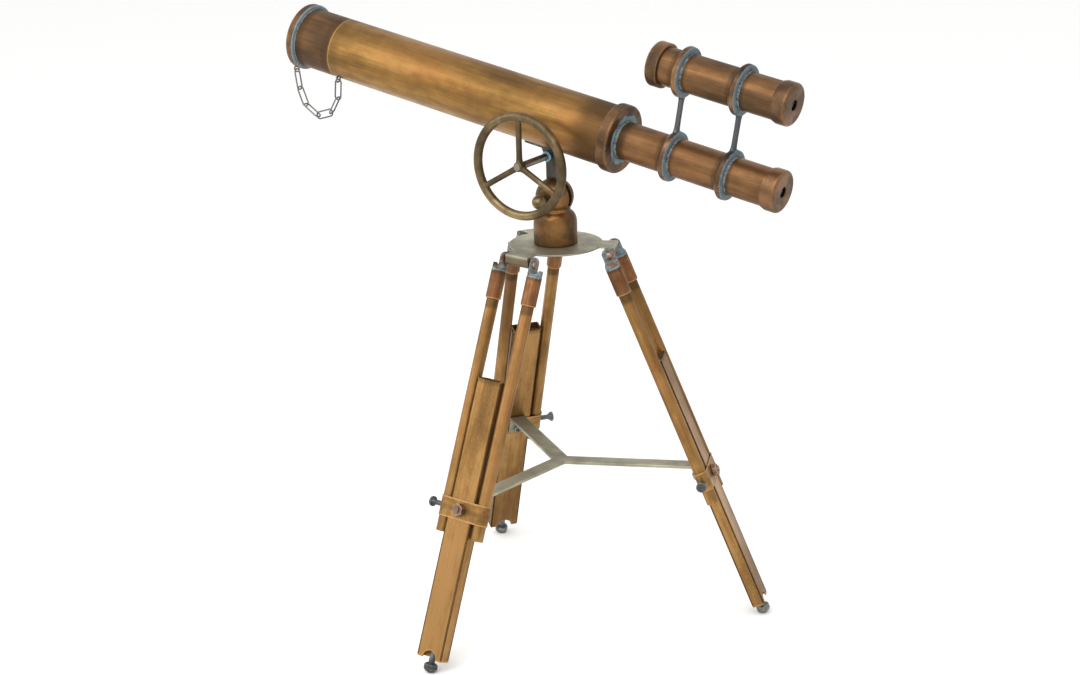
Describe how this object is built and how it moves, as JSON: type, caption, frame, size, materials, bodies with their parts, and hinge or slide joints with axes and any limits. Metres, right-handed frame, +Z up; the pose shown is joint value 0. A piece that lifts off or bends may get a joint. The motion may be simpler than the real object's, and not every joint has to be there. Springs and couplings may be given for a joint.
{
  "type": "telescope on tripod",
  "caption": "Decorative refracting telescope with a draw tube, finder and hand wheel on a tilting, swivelling head over a splayed tripod with sliding legs.",
  "frame": {"origin": "where the tripod's axis meets the floor that the feet stand on", "axes": "+Z up along the tripod's axis; +X level, under the telescope, from its objective end towards its eyepiece end; +Y away from the hand wheel"},
  "size_m": [0.5583, 0.3367, 0.584],
  "materials": {
    "copper_tube": "antique copper, brushed lengthwise, with darker brown streaks",
    "copper_leg": "antique copper, brushed lengthwise, golden with brown edges",
    "bronze_trim": "dark antique bronze with rubbed edges",
    "bronze_ring": "dark bronze bead with a pale verdigris face",
    "brass_wheel": "olive-brown antique brass, softly polished",
    "copper_head": "antique copper with orange and olive patches",
    "verdigris_lug": "bronze under pale blue verdigris",
    "verdigris_collar": "dark bronze with a pale blue verdigris face",
    "olive_plate": "dull grey-olive patina",
    "dark_steel": "dull dark grey steel",
    "hidden_brass": "plain turned brass",
    "lens_glass": "clear glass"
  },
  "bodies": {
    "tripod": {"top_plate": "olive_plate", "spreader": "olive_plate", "spreader_bolts": "dark_steel", "hinge_bolts": "bronze_trim", "clamp_nuts": "bronze_trim", "leg_rods_1": "copper_leg", "leg_ferrules_1": "copper_leg", "leg_lugs_1": "verdigris_lug", "clamp_band_1": "copper_leg", "leg_rods_2": "copper_leg", "leg_ferrules_2": "copper_leg", "leg_lugs_2": "verdigris_lug", "clamp_band_2": "copper_leg", "leg_rods_3": "copper_leg", "leg_ferrules_3": "copper_leg", "leg_lugs_3": "verdigris_lug", "clamp_band_3": "copper_leg"},
    "head": {"head_post": "copper_head", "swivel_bolt": "dark_steel", "swivel_washer": "dark_steel", "tilt_nut": "dark_steel"},
    "tilt_knob": {"tilt_screw": "bronze_trim"},
    "telescope": {"tube_bracket": "copper_head", "wheel_shaft": "dark_steel", "main_tube": "copper_tube", "rear_collar": "verdigris_collar", "guide_bush": "hidden_brass", "objective_cell": "copper_tube", "objective_lens": "lens_glass", "lens_ring": "hidden_brass", "chain_staple": "dark_steel", "cap_chain": "dark_steel"},
    "cap": {"objective_cap": "bronze_trim"},
    "wheel": {"hand_wheel": "brass_wheel"},
    "draw": {"draw_tube": "copper_tube", "stop_ring": "hidden_brass", "eyepiece_cap": "bronze_trim", "eyepiece_lens": "lens_glass", "finder_bracket_front": "bronze_ring", "finder_bracket_rear": "bronze_ring", "finder_tube": "copper_tube", "finder_bezel": "bronze_trim", "finder_lens": "lens_glass", "finder_eyepiece": "bronze_trim", "finder_eye_lens": "lens_glass"},
    "leg_1": {"sliding_plank_1": "copper_leg", "foot_1": "dark_steel"},
    "leg_2": {"sliding_plank_2": "copper_leg", "foot_2": "dark_steel"},
    "leg_3": {"sliding_plank_3": "copper_leg", "foot_3": "dark_steel"},
    "thumb_1": {"thumb_screw_1": "dark_steel"},
    "thumb_2": {"thumb_screw_2": "dark_steel"},
    "thumb_3": {"thumb_screw_3": "dark_steel"}
  },
  "joints": [
    {"name": "head_swivel", "type": "hinge", "parent": "tripod", "child": "head", "pos_m": [0, 0, 0.3752], "axis": [0, 0, 1], "continuous": true},
    {"name": "telescope_tilt", "type": "hinge", "parent": "head", "child": "telescope", "pos_m": [0, 0, 0.421], "axis": [0, 1, 0], "range_deg": [-30, 35]},
    {"name": "tilt_knob_turn", "type": "hinge", "parent": "head", "child": "tilt_knob", "pos_m": [0, 0, 0.421], "axis": [0, -1, 0], "range_deg": [-90, 180]},
    {"name": "wheel_spin", "type": "hinge", "parent": "telescope", "child": "wheel", "pos_m": [-0.005, -0.05, 0.46], "axis": [0, 1, 0], "continuous": true},
    {"name": "cap_pull", "type": "slide", "parent": "telescope", "child": "cap", "axis": [-0.9836, 0, 0.1805], "range_m": [0, 0.022], "deforming": ["cap_chain"]},
    {"name": "focus_slide", "type": "slide", "parent": "telescope", "child": "draw", "axis": [0.9836, 0, -0.1805], "range_m": [-0.045, 0.012]},
    {"name": "leg_1_slide", "type": "slide", "parent": "tripod", "child": "leg_1", "axis": [0.3401, 0.1472, -0.9288], "range_m": [-0.06, 0.09]},
    {"name": "thumb_1_turn", "type": "hinge", "parent": "tripod", "child": "thumb_1", "pos_m": [0.14688, 0.02052, 0.14559], "axis": [0.3971, -0.9178, 0], "range_deg": [0, 360]},
    {"name": "leg_2_slide", "type": "slide", "parent": "tripod", "child": "leg_2", "axis": [-0.2975, 0.221, -0.9288], "range_m": [-0.06, 0.09]},
    {"name": "thumb_2_turn", "type": "hinge", "parent": "tripod", "child": "thumb_2", "pos_m": [-0.09121, 0.11694, 0.14559], "axis": [0.5962, 0.8028, 0], "range_deg": [0, 360]},
    {"name": "leg_3_slide", "type": "slide", "parent": "tripod", "child": "leg_3", "axis": [-0.0426, -0.3681, -0.9288], "range_m": [-0.06, 0.09]},
    {"name": "thumb_3_turn", "type": "hinge", "parent": "tripod", "child": "thumb_3", "pos_m": [-0.05567, -0.13746, 0.14559], "axis": [-0.9934, 0.1149, 0], "range_deg": [0, 360]}
  ]
}
